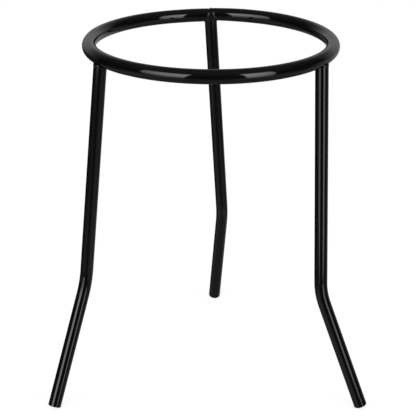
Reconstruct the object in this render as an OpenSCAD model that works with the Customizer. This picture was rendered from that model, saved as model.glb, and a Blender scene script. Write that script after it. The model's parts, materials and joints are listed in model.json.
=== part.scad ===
// Laboratory tripod stand: a ring bent from round steel rod, carried on three bent legs of
// slightly thinner rod. The ring's two ends are butt welded over the rear leg, and each leg
// is welded to the underside of the ring.
// The origin is on the floor, under the centre of the ring. +Z is up, the rear leg is on the
// +Y side, and the left and right legs stand on the -X and +X sides.

/* [Ring] */
// Outside diameter of the ring
ring_outer_d = 140; // [90:1:220]
// Diameter of the rod that the ring is bent from
ring_rod_d = 7.7; // [5:0.1:12]
// Gap between the ends of the ring's rod, which the butt weld fills
ring_gap = 1.6; // [0.6:0.1:3]
// Height of the ring's right end above its left end at the butt weld
ring_step = 0.7; // [0.1:0.1:1.5]

/* [Stand] */
// Height from the floor to the top of the ring
stand_h = 200; // [130:1:320]

/* [Legs] */
// Diameter of the rod that the legs are bent from
leg_rod_d = 7.15; // [5:0.05:12]
// How far a leg's axis stands outside the axis of the ring's rod, at the ring
leg_out = 0.6; // [0:0.1:1.5]
// How far the end of a leg reaches up beside the ring's rod
leg_bite = 1.5; // [0.5:0.1:2]
// Height of the bend, where the axes of the straight lengths would cross
bend_h = 67.5; // [40:0.5:110]
// How far the bend stands further out than the top of the leg
bend_out = 8; // [0:0.1:20]
// How far the bend swings sideways from the top of the leg, clockwise from above
bend_side = 8.2; // [-15:0.1:15]
// Radius of the bend, at the rod's axis
bend_r = 40; // [15:1:60]
// How much the rod's radius shrinks in the bend
bend_thinning = 0.02; // [0.01:0.01:0.1]
// How far each foot stands further out than the top of its leg: rear, left, right
foot_out = [32.4, 34.6, 31.8]; // [20:0.1:50]
// How far each foot swings sideways, clockwise from above: rear, left, right
foot_side = [3.9, -1.8, 0.4]; // [-15:0.1:15]
// Radius of the worn edge round the sawn end of a foot
foot_edge_r = 0.5; // [0.1:0.1:1.5]

/* [Welds] */
// Width of the butt weld along the ring
ring_weld_w = 4.8; // [3:0.1:8]
// How far the butt weld stands proud of the ring's rod
ring_weld_h = 0.45; // [0.2:0.05:1]
// Radius of the bead round the top of a leg
bead_r = 1.1; // [0.8:0.1:2]
// How far that bead stands proud of the leg's rod
bead_h = 0.6; // [0.3:0.1:1.2]
// How far that bead rises past the leg's sawn end
bead_rise = 0.3; // [0.1:0.1:1]

/* [Hidden] */
$fn = 96;

REAR = 0;
LEFT = 1;
RIGHT = 2;
rear_azimuth = 90;
leg_spacing = 120;
enamel = "#1a1a1c";
margin = 1; // how far a cutting shape runs past what it cuts

bend_lap = 0.5; // how far the bend's solid reaches into each straight length
bend_taper = 0.1; // size of the taper that blends the lower length into the bend

bend_lap_angle = bend_lap / bend_r * 180 / PI;
ring_rod_r = ring_rod_d / 2;
leg_rod_r = leg_rod_d / 2;
ring_r = (ring_outer_d - ring_rod_d) / 2; // to the axis of the rod
ring_z = stand_h - ring_rod_r;
ring_half_angle = 180 - asin(ring_gap / 2 / ring_r);
// Each half of the ring tips about the front of the ring, to part the ends by the step
ring_tip = asin(ring_step / (4 * ring_r));

function unit(v) = v / norm(v);

// Points on a leg's axis, with X outward and Y anticlockwise along the ring
leg_top = [ring_r + leg_out, 0, ring_z];
leg_bend = leg_top + [bend_out, -bend_side, bend_h - ring_z];
function leg_foot(k) = [leg_top.x + foot_out[k], -foot_side[k], 0];

upper_dir = unit(leg_bend - leg_top);
function lower_dir(k) = unit(leg_foot(k) - leg_bend);
function bend_angle(k) = acos(upper_dir * lower_dir(k));
function bend_reach(k) = bend_r * tan(bend_angle(k) / 2);

// The lowest point of the rounded, square cut end rests on the floor
function foot_tilt(k) = acos(-lower_dir(k).z);
function foot_centre_z(k) =
    (leg_rod_r - foot_edge_r) * sin(foot_tilt(k)) + foot_edge_r * (1 - cos(foot_tilt(k)));
function lower_length(k) =
    norm(leg_foot(k) - leg_bend) - bend_reach(k) - foot_centre_z(k) / cos(foot_tilt(k));
function upper_length(k) = norm(leg_bend - leg_top) - bend_reach(k);

// Distance down the leg's axis from leg_top to its cut end, and to the bead's centre
cut_drop = (ring_rod_r - leg_bite) / -upper_dir.z;
bead_drop = cut_drop + bead_r - bead_rise;

// Moves a leg's shape, with its upper length down the Z axis and its bend towards +X, to its place
module leg_place(k) {
    x_dir = unit(lower_dir(k) - (lower_dir(k) * upper_dir) * upper_dir);
    z_dir = -upper_dir;
    y_dir = cross(z_dir, x_dir);
    rotate([0, 0, rear_azimuth + k * leg_spacing])
        multmatrix([
            [x_dir.x, y_dir.x, z_dir.x, leg_top.x],
            [x_dir.y, y_dir.y, z_dir.y, leg_top.y],
            [x_dir.z, y_dir.z, z_dir.z, leg_top.z],
            [0, 0, 0, 1]
        ])
            children();
}

// A straight rod down the Z axis, tapered into the bend at its top, and square cut with a
// rounded edge at its foot
module foot_rod(length) {
    rotate_extrude()
        difference() {
            polygon([
                [0, -length], [leg_rod_r, -length], [leg_rod_r, -bend_taper],
                [leg_rod_r - bend_taper, 0], [0, 0]
            ]);
            translate([leg_rod_r - foot_edge_r, -length])
                difference() {
                    translate([0, -margin])
                        square([foot_edge_r + margin, foot_edge_r + margin]);
                    translate([0, foot_edge_r])
                        circle(foot_edge_r);
                }
        }
}

module upper_rod(k) {
    translate([0, 0, -upper_length(k)])
        cylinder(h = upper_length(k) - cut_drop, r = leg_rod_r);
}

// The bend reaches a little way into the straight lengths on each side of it
module bent_rod(k) {
    upper_rod(k);
    translate([bend_r, 0, -upper_length(k)]) {
        rotate([90, 0, 0])
            rotate([0, 0, 180 - bend_lap_angle])
                rotate_extrude(angle = bend_angle(k) + 2 * bend_lap_angle)
                    translate([bend_r, 0])
                        circle(leg_rod_r - bend_thinning);
        rotate([0, -bend_angle(k), 0])
            translate([-bend_r, 0, 0])
                foot_rod(lower_length(k));
    }
}

// The right half of the ring, from the front round to its end at the back, tipped up by tip
module half_ring(tip) {
    translate([0, -ring_r, ring_z])
        rotate([tip, 0, 0])
            translate([0, ring_r, 0])
                rotate([0, 0, -90])
                    rotate_extrude(angle = ring_half_angle)
                        translate([ring_r, 0])
                            circle(ring_rod_r);
}

module ring_rod() {
    half_ring(ring_tip);
    mirror([1, 0, 0])
        half_ring(-ring_tip);
}

// A crowned barrel round the ring's rod, centred on the gap
module butt_barrel() {
    crown_r = (pow(ring_weld_w / 2, 2) + pow(ring_weld_h, 2)) / (2 * ring_weld_h);
    translate([0, ring_r, ring_z])
        rotate([0, 90, 0])
            rotate_extrude()
                intersection() {
                    translate([0, -ring_weld_w / 2])
                        square([ring_rod_d, ring_weld_w]);
                    translate([ring_rod_r + ring_weld_h - crown_r, 0])
                        circle(crown_r);
                }
}

module ring() {
    color(enamel)
        ring_rod();
}

module ring_weld() {
    color(enamel)
        difference() {
            butt_barrel();
            ring_rod();
        }
}

// The leg's end is coped to the ring and its butt weld
module leg(k) {
    color(enamel)
        difference() {
            leg_place(k)
                bent_rod(k);
            ring_rod();
            butt_barrel();
        }
}

// A bead round the top of a leg, in the corner between it and the ring
module leg_weld(k) {
    color(enamel)
        difference() {
            leg_place(k)
                translate([0, 0, -bead_drop])
                    rotate_extrude()
                        translate([leg_rod_r + bead_h - bead_r, 0])
                            circle(bead_r);
            union() {
                ring_rod();
                butt_barrel();
                leg_place(k)
                    upper_rod(k);
            }
        }
}

ring();
ring_weld();
leg(REAR);  // leg_rear
leg(LEFT);  // leg_left
leg(RIGHT);  // leg_right
leg_weld(REAR);  // weld_rear
leg_weld(LEFT);  // weld_left
leg_weld(RIGHT);  // weld_right
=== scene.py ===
"""Looks, light and camera for the lab tripod stand. Lengths are in metres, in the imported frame:
the origin is on the floor under the ring, +Z is up and the rear leg stands towards +Y."""
import json
import math

import bpy
from mathutils import Matrix, Vector, noise


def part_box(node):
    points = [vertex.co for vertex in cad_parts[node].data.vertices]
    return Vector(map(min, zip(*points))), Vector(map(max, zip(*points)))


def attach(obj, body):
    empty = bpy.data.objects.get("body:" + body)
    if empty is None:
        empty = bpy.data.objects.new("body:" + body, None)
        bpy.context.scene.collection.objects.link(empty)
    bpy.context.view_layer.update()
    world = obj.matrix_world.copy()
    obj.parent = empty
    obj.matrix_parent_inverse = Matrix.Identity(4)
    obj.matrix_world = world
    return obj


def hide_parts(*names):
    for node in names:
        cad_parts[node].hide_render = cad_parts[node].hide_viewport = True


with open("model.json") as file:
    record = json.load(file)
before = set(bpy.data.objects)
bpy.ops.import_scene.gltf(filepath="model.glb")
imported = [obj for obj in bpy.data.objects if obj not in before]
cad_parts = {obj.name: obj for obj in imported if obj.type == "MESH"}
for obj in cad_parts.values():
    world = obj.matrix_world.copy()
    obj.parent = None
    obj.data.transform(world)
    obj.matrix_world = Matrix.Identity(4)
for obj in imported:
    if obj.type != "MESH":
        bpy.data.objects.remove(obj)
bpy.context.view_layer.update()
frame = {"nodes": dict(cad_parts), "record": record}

# ---------------------------------------------------------------- sizes taken from the frame
ring_points = [v.co for v in frame["nodes"]["ring"].data.vertices]
ring_outer = max(math.hypot(p.x, p.y) for p in ring_points)
ring_inner = min(math.hypot(p.x, p.y) for p in ring_points)
ring_low, ring_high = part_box("ring")
ROD_R = (ring_outer - ring_inner) / 2
RING_R = (ring_outer + ring_inner) / 2  # to the rod's axis
RING_Z = (ring_low.z + ring_high.z) / 2
STEP = ring_high.z - ring_low.z - 2 * ROD_R  # in height, between the rod's two ends
TIP = math.asin(STEP / (4 * RING_R))  # the ring's right half tips up by this, and its left half down
GAP_HALF = min(abs(p.x) for p in ring_points if p.y > RING_R)
LEG_R = frame["record"]["mounts"][0]["dims"]["r_mm"] / 1000

# ---------------------------------------------------------------- camera
CAMERA_AT = (-0.00535, -0.76219, 0.39440)
CAMERA_TURN = math.radians(-0.319)  # about +Z, from looking along +Y
CAMERA_DOWN = math.radians(21.108)
CAMERA_ROLL = math.radians(0.331)
LENS_MM, SENSOR_MM = 124.53, 36.0
CLIP_NEAR, CLIP_FAR = 0.01, 20.0


def make_camera():
    data = bpy.data.cameras.new("camera")
    data.lens, data.sensor_width = LENS_MM, SENSOR_MM
    data.clip_start, data.clip_end = CLIP_NEAR, CLIP_FAR
    camera = bpy.data.objects.new("camera", data)
    turn = Matrix.Rotation(CAMERA_TURN, 4, "Z")
    down = Matrix.Rotation(math.pi / 2 - CAMERA_DOWN, 4, "X")
    roll = Matrix.Rotation(CAMERA_ROLL, 4, "Z")
    camera.matrix_world = Matrix.Translation(CAMERA_AT) @ turn @ down @ roll
    bpy.context.scene.collection.objects.link(camera)
    bpy.context.scene.camera = camera


# ---------------------------------------------------------------- shader nodes
def wire(tree, output, socket):
    tree.links.new(output, socket)


def math_node(tree, operation, *values, clamp=False):
    """A math node's output. Each value is a number or another node's output."""
    node = tree.nodes.new("ShaderNodeMath")
    node.operation, node.use_clamp = operation, clamp
    for i, value in enumerate(values):
        if isinstance(value, (int, float)):
            node.inputs[i].default_value = value
        else:
            wire(tree, value, node.inputs[i])
    return node.outputs[0]


def add(tree, a, b):
    return math_node(tree, "ADD", a, b)


def multiply(tree, a, b):
    return math_node(tree, "MULTIPLY", a, b)


def one_minus(tree, value):
    return math_node(tree, "SUBTRACT", 1.0, value)


def ramp(tree, value, stops):
    """A level that follows value through (value, level) stops."""
    node = tree.nodes.new("ShaderNodeValToRGB")
    elements = node.color_ramp.elements
    while len(elements) < len(stops):
        elements.new(0.5)
    for element, (at, level) in zip(elements, stops):
        element.position, element.color = at, (level, level, level, 1)
    wire(tree, value, node.inputs[0])
    return node.outputs[0]


def mix_shaders(tree, share, first, second):
    """The first shader, with the second one in its place by that share."""
    node = tree.nodes.new("ShaderNodeMixShader")
    wire(tree, share, node.inputs[0])
    wire(tree, first.outputs[0], node.inputs[1])
    wire(tree, second.outputs[0], node.inputs[2])
    return node


def seen_directly(tree, light_path):
    """1 for camera and transmission rays, which see the plain white background."""
    rays = light_path.outputs
    return math_node(tree, "MAXIMUM", rays["Is Camera Ray"], rays["Is Transmission Ray"])


# ---------------------------------------------------------------- studio
# What glossy rays see of the studio, as (place, level) stops, where a level of 1 is white. By UP, the place
# is 0 straight down, 0.5 level and 1 straight up. By BACK, it is 0 behind the camera and 1 behind the
# object. By TURN, it goes round in azimuth, from 0 towards the camera to 1 behind the object.
WALLS_BY_UP = (
    (0.505, 0), (0.522, 0.9), (0.535, 1), (0.575, 0.95), (0.665, 0.88), (0.72, 0.5), (0.82, 0.23),
    (0.92, 0.11), (1, 0.04))
LEFT_WALL_BY_BACK = ((0.69, 0), (0.735, 0.05), (0.79, 0.17), (0.84, 0.34), (0.91, 0.7), (0.96, 0.95))
RIGHT_WALL_BY_BACK = ((0.71, 0), (0.75, 0.12), (0.8, 0.37), (0.84, 0.47), (0.91, 0.8), (0.96, 1))
FRONT_FLOOR_BY_TURN = (
    (0, 0.04), (0.1, 0.07), (0.17, 0.22), (0.33, 0.28), (0.45, 0.2), (0.56, 0.08), (0.66, 0))
FRONT_FLOOR_BY_UP = (
    (0.12, 0), (0.2, 0.8), (0.24, 1), (0.3, 1), (0.345, 0.4), (0.43, 0.25), (0.47, 0))
LEFT_SWEEP_BY_TURN = ((0.62, 0), (0.7, 0.15), (0.75, 0.23), (0.85, 0.7), (1, 0.8))
LEFT_SWEEP_BY_UP = (
    (0.12, 0), (0.2, 0.5), (0.24, 0.2), (0.39, 0.1), (0.45, 0.8), (0.48, 1), (0.506, 1), (0.522, 0))
RIGHT_SWEEP_BY_TURN = (
    (0.5, 0), (0.54, 0.1), (0.62, 0.19), (0.68, 0.33), (0.74, 0.48), (0.84, 1), (0.92, 0.9), (1, 0.8))
RIGHT_SWEEP_BY_UP = ((0.12, 0), (0.25, 0.8), (0.35, 1), (0.48, 1), (0.506, 0.9), (0.522, 0))
FLOOR_BELOW_BY_UP = ((0, 0.17), (0.2, 0.16), (0.28, 0))
ROOM_ABOVE_BY_UP = ((0.5, 0), (0.8, 0.05), (0.93, 0.12), (1, 0.12))
SIDES_MEET = 4.0  # how sharply the studio's left half gives way to its right half
AMBIENT = 0.48  # the world's level for diffuse rays


def make_world():
    world = bpy.data.worlds.new("studio")
    bpy.context.scene.world = world
    world.use_nodes = True
    tree = world.node_tree
    tree.nodes.clear()
    out = tree.nodes.new("ShaderNodeOutputWorld")
    background = tree.nodes.new("ShaderNodeBackground")
    path = tree.nodes.new("ShaderNodeLightPath")
    coordinates = tree.nodes.new("ShaderNodeTexCoord")
    split = tree.nodes.new("ShaderNodeSeparateXYZ")
    wire(tree, coordinates.outputs["Generated"], split.inputs[0])
    x, y, z = split.outputs
    up = math_node(tree, "MULTIPLY_ADD", z, 0.5, 0.5)
    back = math_node(tree, "MULTIPLY_ADD", y, 0.5, 0.5)
    azimuth = math_node(tree, "ARCTAN2", x, multiply(tree, y, -1.0))
    turn = math_node(tree, "ABSOLUTE", math_node(tree, "DIVIDE", azimuth, math.pi))
    right = math_node(tree, "MULTIPLY_ADD", x, SIDES_MEET, 0.5, clamp=True)
    left = one_minus(tree, right)

    def two_sides(of_left, of_right):
        return add(tree, multiply(tree, left, of_left), multiply(tree, right, of_right))

    def patch(by_turn, by_up):
        return multiply(tree, ramp(tree, turn, by_turn), ramp(tree, up, by_up))

    by_back = two_sides(ramp(tree, back, LEFT_WALL_BY_BACK), ramp(tree, back, RIGHT_WALL_BY_BACK))
    walls = multiply(tree, ramp(tree, up, WALLS_BY_UP), by_back)
    front = patch(FRONT_FLOOR_BY_TURN, FRONT_FLOOR_BY_UP)
    left_sweep = patch(LEFT_SWEEP_BY_TURN, LEFT_SWEEP_BY_UP)
    right_sweep = patch(RIGHT_SWEEP_BY_TURN, RIGHT_SWEEP_BY_UP)
    sweep = two_sides(left_sweep, right_sweep)
    rest = add(tree, ramp(tree, up, FLOOR_BELOW_BY_UP), ramp(tree, up, ROOM_ABOVE_BY_UP))
    studio = add(tree, add(tree, walls, rest), add(tree, front, sweep))
    white = seen_directly(tree, path)
    glossy = multiply(tree, studio, path.outputs["Is Glossy Ray"])
    diffuse = multiply(tree, path.outputs["Is Diffuse Ray"], AMBIENT)
    wire(tree, add(tree, add(tree, white, glossy), diffuse), background.inputs["Strength"])
    background.inputs["Color"].default_value = (1, 1, 1, 1)
    wire(tree, background.outputs[0], out.inputs[0])


# Two softboxes, as seen from the ring's centre: azimuth (outer edge, inner edge) and elevation (lower edge,
# upper edge) in degrees, with azimuth 0 towards the camera, and distance. Then what each shows across its
# face: the peak level, how much it fades at its outer edge, its level at the foot as a share of the peak,
# how far its lower edge climbs outward as a share of the height, and its dim lower outer corner (how
# steeply it darkens outward, how high it reaches).
RING_CENTRE = Vector((0, 0, RING_Z))
SOFTBOXES = {
    "left": {
        "azimuth": (-63.5, -21.3), "elevation": (-16.7, 41), "distance": 12.8,
        "peak": 4.3, "fade": 0.57, "foot": 0.41, "climb": 0.057, "corner": (1.9, 0.48)},
    "right": {
        "azimuth": (55.7, 28.3), "elevation": (-19.1, 40), "distance": 1.07,
        "peak": 4.6, "fade": 0.51, "foot": 0.6, "climb": 0.011, "corner": (1.35, 0.17)},
}
ABOVE_FOOT = 0.2  # at this height the level is a third of the foot's and the peak's together
# above that, (height, share of the peak) stops
SOFTBOX_BY_HEIGHT = ((0.29, 0.57), (0.38, 0.7), (0.48, 0.85), (0.58, 1), (0.7, 1), (0.84, 0.82), (1, 0.5))
EDGE_SHARPNESS = 100  # of a softbox's lower edge


def direction(azimuth, elevation):
    a, e = math.radians(azimuth), math.radians(elevation)
    return Vector((math.sin(a) * math.cos(e), -math.cos(a) * math.cos(e), math.sin(e)))


def half_size(distance, edges):
    """Half the length that two edges, given as angles, cut off at that distance."""
    return distance * math.tan(math.radians(abs(edges[1] - edges[0]) / 2))


def make_softbox(side, azimuth, elevation, distance, peak, fade, foot, climb, corner):
    tilt = sum(elevation) / 2
    away = direction(sum(azimuth) / 2, tilt)
    data = bpy.data.lights.new("softbox_" + side, "AREA")
    data.shape = "RECTANGLE"
    data.size = 2 * half_size(distance, azimuth) * math.cos(math.radians(tilt))
    data.size_y = 2 * half_size(distance, elevation)
    data.energy = peak * math.pi * data.size * data.size_y
    lamp = bpy.data.objects.new("softbox_" + side, data)
    across = Vector((0, 0, 1)).cross(away).normalized()
    # a lamp shines along its own -Z
    facing = Matrix((across, away.cross(across), away)).transposed().to_4x4()
    lamp.matrix_world = Matrix.Translation(RING_CENTRE + away * distance) @ facing
    lamp.visible_camera = False
    bpy.context.scene.collection.objects.link(lamp)

    data.use_nodes = True
    tree = data.node_tree
    geometry = tree.nodes.new("ShaderNodeNewGeometry")
    split = tree.nodes.new("ShaderNodeSeparateXYZ")
    wire(tree, geometry.outputs["Parametric"], split.inputs[0])
    rightward, height = split.outputs[0], split.outputs[1]
    outward = rightward if side == "right" else one_minus(tree, rightward)
    by_width = one_minus(tree, multiply(tree, math_node(tree, "POWER", outward, 2.0), fade))
    by_height = ramp(tree, height, ((0, foot), (ABOVE_FOOT, (foot + 1) / 3)) + SOFTBOX_BY_HEIGHT)
    steep, reach = corner
    far = math_node(tree, "MULTIPLY_ADD", outward, steep, 1 - steep, clamp=True)
    low = math_node(tree, "MULTIPLY_ADD", height, -1 / reach, 1.0, clamp=True)
    by_corner = one_minus(tree, multiply(tree, far, low))
    above_edge = math_node(tree, "MULTIPLY_ADD", outward, -climb, height)
    by_edge = math_node(tree, "MULTIPLY", above_edge, EDGE_SHARPNESS, clamp=True)
    level = multiply(tree, multiply(tree, by_width, by_corner), multiply(tree, by_height, by_edge))
    wire(tree, level, tree.nodes["Emission"].inputs["Strength"])


FLOOR_SIZE = 8.0
FLOOR_GREY = (0.8, 0.8, 0.8, 1)
FLOOR_WHITE = 1.21  # a glow for rays that see the floor directly, which brings its grey up to white
FLOOR_LIFT = 0.7  # the glow's share: the rest is the grey floor, which shows the stand's shadow


def make_floor():
    """A pale floor. Glossy rays pass through it, and the world has the floor as the enamel shows it."""
    bpy.ops.mesh.primitive_plane_add(size=FLOOR_SIZE, location=(0, 0, 0))
    floor = bpy.context.object
    floor.name = "floor"
    floor.visible_shadow = False
    material = bpy.data.materials.new("pale_floor")
    material.use_nodes = True
    tree = material.node_tree
    tree.nodes.clear()
    out = tree.nodes.new("ShaderNodeOutputMaterial")
    path = tree.nodes.new("ShaderNodeLightPath")
    grey = tree.nodes.new("ShaderNodeBsdfDiffuse")
    grey.inputs["Color"].default_value = FLOOR_GREY
    white = tree.nodes.new("ShaderNodeEmission")
    white.inputs["Strength"].default_value = FLOOR_WHITE
    clear = tree.nodes.new("ShaderNodeBsdfTransparent")
    lifted = mix_shaders(tree, multiply(tree, seen_directly(tree, path), FLOOR_LIFT), grey, white)
    surface = mix_shaders(tree, path.outputs["Is Glossy Ray"], lifted, clear)
    wire(tree, surface.outputs[0], out.inputs[0])
    floor.data.materials.append(material)


# ---------------------------------------------------------------- enamel
ENAMEL_IOR = 1.5
# Specular level, from facing the eye (0) to edge on (1). It falls towards the edges, where the softboxes
# would otherwise look as white as the background.
EDGE_GLOSS = (
    (0.4, 0.5), (0.5, 0.45), (0.6, 0.27), (0.7, 0.09), (0.75, 0.045), (0.8, 0.02), (0.85, 0.008),
    (1, 0.003))
DRIFT_SCALE = 0.35  # of the drift's noise, as a share of the ripple's


def noise_node(tree, coordinates, scale, detail):
    node = tree.nodes.new("ShaderNodeTexNoise")
    node.inputs["Scale"].default_value = scale
    node.inputs["Detail"].default_value = detail
    wire(tree, coordinates.outputs["Object"], node.inputs["Vector"])
    return node.outputs[0]


def enamel(name, colours, roughness, ripple, ripple_height):
    """Black enamel. Its colour and roughness drift between two values, over a ripple of a given length and
    height."""
    material = bpy.data.materials.new(name)
    material.use_nodes = True
    tree = material.node_tree
    shader = tree.nodes["Principled BSDF"]
    coordinates = tree.nodes.new("ShaderNodeTexCoord")
    drift = noise_node(tree, coordinates, DRIFT_SCALE / ripple, detail=3.0)
    tint = tree.nodes.new("ShaderNodeMix")
    tint.data_type = "RGBA"
    tint.inputs["A"].default_value, tint.inputs["B"].default_value = ((*colour, 1) for colour in colours)
    wire(tree, drift, tint.inputs["Factor"])
    wire(tree, tint.outputs["Result"], shader.inputs["Base Color"])
    low, high = roughness
    wire(tree, math_node(tree, "MULTIPLY_ADD", drift, high - low, low), shader.inputs["Roughness"])
    bump = tree.nodes.new("ShaderNodeBump")
    bump.inputs["Strength"].default_value = 1.0
    bump.inputs["Distance"].default_value = ripple_height
    wire(tree, noise_node(tree, coordinates, 1 / ripple, detail=2.0), bump.inputs["Height"])
    wire(tree, bump.outputs[0], shader.inputs["Normal"])
    shader.inputs["IOR"].default_value = ENAMEL_IOR
    weight = tree.nodes.new("ShaderNodeLayerWeight")
    weight.inputs["Blend"].default_value = 0.5
    wire(tree, ramp(tree, weight.outputs["Facing"], EDGE_GLOSS), shader.inputs["Specular IOR Level"])
    return material


ROD_ENAMEL = enamel(
    "rod_enamel", colours=((0.0018, 0.0018, 0.0020), (0.0028, 0.0028, 0.0030)), roughness=(0.05, 0.09),
    ripple=0.0030, ripple_height=5e-6)
WELD_ENAMEL = enamel(
    "weld_enamel", colours=((0.0020, 0.0020, 0.0021), (0.0045, 0.0044, 0.0043)), roughness=(0.08, 0.18),
    ripple=0.0009, ripple_height=1.2e-5)


# ---------------------------------------------------------------- shapes
SHARP_ANGLE = math.radians(50)  # where a flat cap meets the side


def grid_piece(name, rows, stands_for, material, closed_rows=False):
    """A mesh through rows of points. Every row is a loop, and the rows close up too or end in flat caps."""
    n, m = len(rows), len(rows[0])
    faces = []
    for i in range(n if closed_rows else n - 1):
        k = (i + 1) % n
        for j in range(m):
            faces.append((i * m + j, i * m + (j + 1) % m, k * m + (j + 1) % m, k * m + j))
    if not closed_rows:
        faces.append(tuple(range(m))[::-1])
        faces.append(tuple((n - 1) * m + j for j in range(m)))
    mesh = bpy.data.meshes.new(name)
    mesh.from_pydata([p for row in rows for p in row], [], faces)
    mesh.shade_smooth()
    if not closed_rows:
        mesh.set_sharp_from_angle(angle=SHARP_ANGLE)
    mesh.validate()
    mesh.materials.append(material)
    piece = bpy.data.objects.new(name, mesh)
    bpy.context.scene.collection.objects.link(piece)
    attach(piece, "root")
    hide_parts(stands_for)
    return piece


def circle(count):
    """Angles spread evenly round a full turn."""
    return [2 * math.pi * i / count for i in range(count)]


def lumps(p, length, seed):
    """Smooth noise from -1 to 1 over points in metres."""
    return noise.noise(p / length + Vector((seed, 0, 0)))


def bell(x, width):
    return math.exp(-((x / width) ** 2))


# ---------------------------------------------------------------- the ring's rod and its butt weld
SKIN = 0.00001  # the visible rods stay this far inside the CAD's box
END_REACH = 0.014  # how far from the butt weld the rod's ends differ from the plain ring
END_LIFT = 0.00024  # the left end rises to meet the right one
END_WORN = 0.00017  # the right end is worn thin
SEAM_SHIFT = 0.0004  # the butt weld sits a little to the right of the gap it fills
SEAM_HALF_WIDTH, SEAM_NARROWING = 0.0018, 0.0014  # at the rod's sides, and how much less that is on top


def rod_end(from_seam, right):
    """The rod's radius and lift at that distance from the butt weld, on its right or left end."""
    near = bell(from_seam, END_REACH)
    return ROD_R - SKIN - (END_WORN * near if right else 0), (0 if right else END_LIFT * near)


def seam_half_width(around):
    """Half the width of the butt weld, which is narrower on top. around is 0 outward and 90 degrees up."""
    return SEAM_HALF_WIDTH - SEAM_NARROWING * math.sin(around)


def ring_point(turn, around, radius):
    """A point on the ring's rod. turn is 0 at the front and grows to the right."""
    out = RING_R + radius * math.cos(around)
    x, y, z = out * math.sin(turn), RING_R - out * math.cos(turn), radius * math.sin(around)
    tip = math.copysign(TIP, turn)
    back = y * math.cos(tip) - z * math.sin(tip) - RING_R
    return Vector((x, back, RING_Z + y * math.sin(tip) + z * math.cos(tip)))


ROD_SIDES = 64
ROWS, ROWS_AT_END = 480, 80
ROWS_CLOSER = 0.012  # over this stretch of each end the rows are closer
GROOVE_DEPTH, GROOVE_WIDTH = 0.00020, 0.0003  # where the weld bites into the rod along its edge
GROOVE_OUT = 0.0001  # from the weld's edge
HEAT_REACH = 0.004  # heat roughens the rod's underside, evenly this far from the weld and then fading
HEAT_UP_TO = 0.35  # the sine of the angle round the rod at which that ends, a little above its side
HEAT_DEPTH, HEAT_LENGTH, HEAT_SEED = 0.00006, 0.0011, 3.0


def make_ring():
    end = math.pi - math.asin(GAP_HALF / RING_R)
    near = ROWS_CLOSER / RING_R
    turns = [-end + near * i / ROWS_AT_END for i in range(ROWS_AT_END)]
    turns += [-(end - near) + 2 * (end - near) * i / ROWS for i in range(ROWS + 1)]
    turns += [end - near + near * (i + 1) / ROWS_AT_END for i in range(ROWS_AT_END)]
    rows = []
    for turn in turns:
        row = []
        from_seam = (math.pi - abs(turn)) * RING_R
        from_weld = abs(math.copysign(from_seam, turn) - SEAM_SHIFT)
        plain, lift = rod_end(from_seam, turn > 0)
        for around in circle(ROD_SIDES):
            groove = bell(from_weld - seam_half_width(around) - GROOVE_OUT, GROOVE_WIDTH)
            radius = plain - GROOVE_DEPTH * groove
            heat = bell(max(from_seam - HEAT_REACH, 0), HEAT_REACH)
            heat *= max(0.0, HEAT_UP_TO - math.sin(around)) / (HEAT_UP_TO + 1)
            pits = 1 + lumps(ring_point(turn, around, radius), HEAT_LENGTH, HEAT_SEED)
            radius -= HEAT_DEPTH * heat * pits
            row.append(ring_point(turn, around, radius) + Vector((0, 0, lift)))
        rows.append(row)
    return grid_piece("ring_rod", rows, "ring", ROD_ENAMEL)


SEAM_REACH = 0.0034  # half the length of the weld's skin along the rod
SEAM_ROWS, SEAM_SIDES = 96, 160
SEAM_BLEND = 0.0012  # half the length over which the lower end turns into the higher one
SEAM_CROWN = 0.00022  # how proud the weld stands
SEAM_SUNK = 0.0003  # how far the skin dips under the rod's surface beyond the weld's edges
SEAM_RAGGED, RAGGED_LENGTH, RAGGED_SEED = 0.25, 0.0014, 7.0  # the share by which the half width varies
SEAM_LUMPS = ((0.00003, 0.0008, 11.0), (0.00001, 0.0004, 13.0))  # height, length, seed
RIPPLE_HEIGHT, RIPPLE_LENGTH = 0.000022, 0.00017  # the length is that of one radian
RIPPLE_TRAIL = 1.1  # how far the ripples trail round the rod for each step away from the weld's middle


def make_seam():
    """The butt weld: a lumpy skin over the rod's two ends, blended from the lower one to the higher one."""
    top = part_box("ring_weld")[1].z - SKIN
    rows = []
    for i in range(SEAM_ROWS + 1):
        s = SEAM_REACH * (2 * i / SEAM_ROWS - 1)
        blend = min(max((s / SEAM_BLEND + 1) / 2, 0), 1)
        blend = blend * blend * (3 - 2 * blend)
        left, lift = rod_end(abs(s), False)
        right, _ = rod_end(abs(s), True)
        radius = left + (right - left) * blend
        height = RING_Z + STEP * (blend - 0.5) + lift * (1 - blend)
        axis = Vector((s, math.sqrt(RING_R**2 - s**2), height))
        row = []
        for around in circle(SEAM_SIDES):
            away = Vector((0, math.cos(around), math.sin(around)))
            p = axis + away * ROD_R
            half = seam_half_width(around) * (1 + SEAM_RAGGED * lumps(p, RAGGED_LENGTH, RAGGED_SEED))
            crown = SEAM_CROWN * (1 - ((s - SEAM_SHIFT) / half) ** 6)
            rough = RIPPLE_HEIGHT * math.sin((ROD_R * around + RIPPLE_TRAIL * abs(s)) / RIPPLE_LENGTH)
            for lump, length, seed in SEAM_LUMPS:
                rough += lump * lumps(p, length, seed)
            lowest = 0 if abs(s) < GAP_HALF else -SEAM_SUNK
            p = axis + away * (radius + max(crown + rough, lowest))
            row.append(Vector((p.x, p.y, min(p.z, top))))
        rows.append(row)
    return grid_piece("seam_weld", rows, "ring_weld", WELD_ENAMEL)


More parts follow.
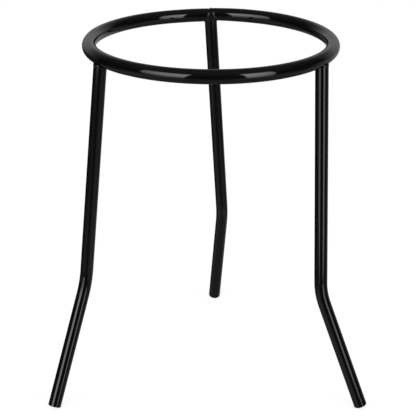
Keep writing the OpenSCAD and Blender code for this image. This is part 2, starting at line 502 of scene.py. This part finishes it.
# ---------------------------------------------------------------- the legs' welds
LEG_CUT = 0.00235  # from the rod's axis down to the sawn end of a leg
BEAD_R = 0.0008
BEAD_VARIES, VARIES_LENGTH = 0.2, 0.0012  # how much a bead's thickness varies along it, as a share
BEAD_PATH_R = 0.0035  # of the circle along which it varies
BEAD_LUMP, LUMP_LENGTH = 0.00007, 0.0006
BEAD_ROWS, BEAD_SIDES = 192, 32


def make_bead(name, stands_for, proud, towards, sag, seed):
    """The bead in the corner between a leg and the ring. proud is how far it stands out from the leg, at
    least and at most, and towards is the azimuth at which it stands out most, in degrees from +X. sag is
    how far its middle hangs below the corner, as a share of its radius."""
    low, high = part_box(stands_for)
    axis = Vector(((low.x + high.x) / 2, (low.y + high.y) / 2, 0))
    outward = math.atan2(axis.y, axis.x)
    least, most = proud
    rows = []
    for azimuth in circle(BEAD_ROWS):
        away = Vector((math.cos(azimuth), math.sin(azimuth), 0))
        reach = axis.length - RING_R + LEG_R * math.cos(azimuth - outward)
        under = math.sqrt(max(ROD_R**2 - reach**2, 0))  # the rod's underside, where the leg's side meets it
        drop = max(LEG_CUT, under)
        stand = least + (most - least) * (0.5 + 0.5 * math.cos(azimuth - math.radians(towards)))
        r = BEAD_R * (1 + BEAD_VARIES * lumps(away * BEAD_PATH_R, VARIES_LENGTH, seed))
        centre = axis + away * (LEG_R + stand - r) + Vector((0, 0, RING_Z - drop - sag * r))
        row = []
        for around in circle(BEAD_SIDES):
            side = away * math.cos(around) + Vector((0, 0, math.sin(around)))
            p = centre + side * r
            row.append(p + side * (BEAD_LUMP * lumps(p, LUMP_LENGTH, seed + 5)))
        rows.append(row)
    return grid_piece(name, rows, stands_for, WELD_ENAMEL, closed_rows=True)


# ---------------------------------------------------------------- the scene
make_camera()
make_world()
for side, spec in SOFTBOXES.items():
    make_softbox(side, **spec)
make_floor()
for name, node in frame["nodes"].items():
    node.data.materials.clear()
    node.data.materials.append(WELD_ENAMEL if "weld" in name else ROD_ENAMEL)
make_ring()
make_seam()
make_bead("bead_rear", "weld_rear", proud=(0.00010, 0.00018), towards=-90, sag=0.4, seed=1.0)
make_bead("bead_left", "weld_left", proud=(0.0, 0.00046), towards=-72, sag=1.0, seed=4.0)
make_bead("bead_right", "weld_right", proud=(-0.00005, 0.00018), towards=20, sag=0.25, seed=3.0)

bpy.context.scene.view_settings.view_transform = "Standard"
